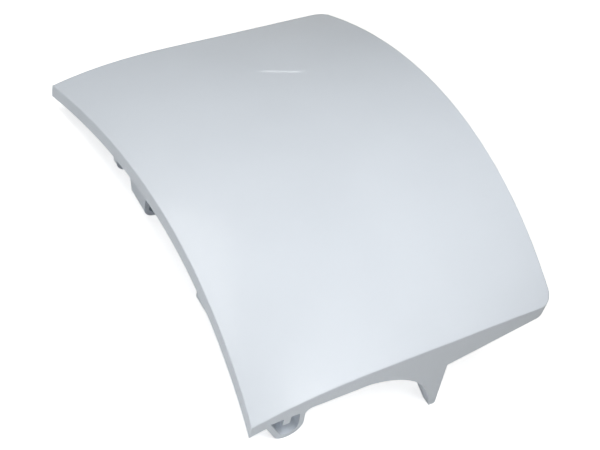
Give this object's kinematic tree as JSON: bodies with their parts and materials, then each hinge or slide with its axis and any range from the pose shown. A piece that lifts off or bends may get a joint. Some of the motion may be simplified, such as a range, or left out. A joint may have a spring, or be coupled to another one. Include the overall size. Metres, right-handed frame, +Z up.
{
  "type": "washing machine door handle",
  "caption": "Curved pull handle of a front-loading washing machine door: a moulded shell with pivot eyes and end loops by its inner edge, and claws and a finger space under the outer one.",
  "frame": {"origin": "on the pivot axis, at mid-length of the handle", "axes": "+X from the pivot axis to the outer edge that the fingers pull, +Y along the pivot axis, +Z up with the smooth face on top; the handle lies on its end loops and claw tips"},
  "size_m": [0.0858, 0.124, 0.054],
  "materials": {
    "handle_plastic": "satin moulded ABS, pale silver grey"
  },
  "bodies": {
    "root": {"door_handle": "handle_plastic"}
  },
  "joints": []
}
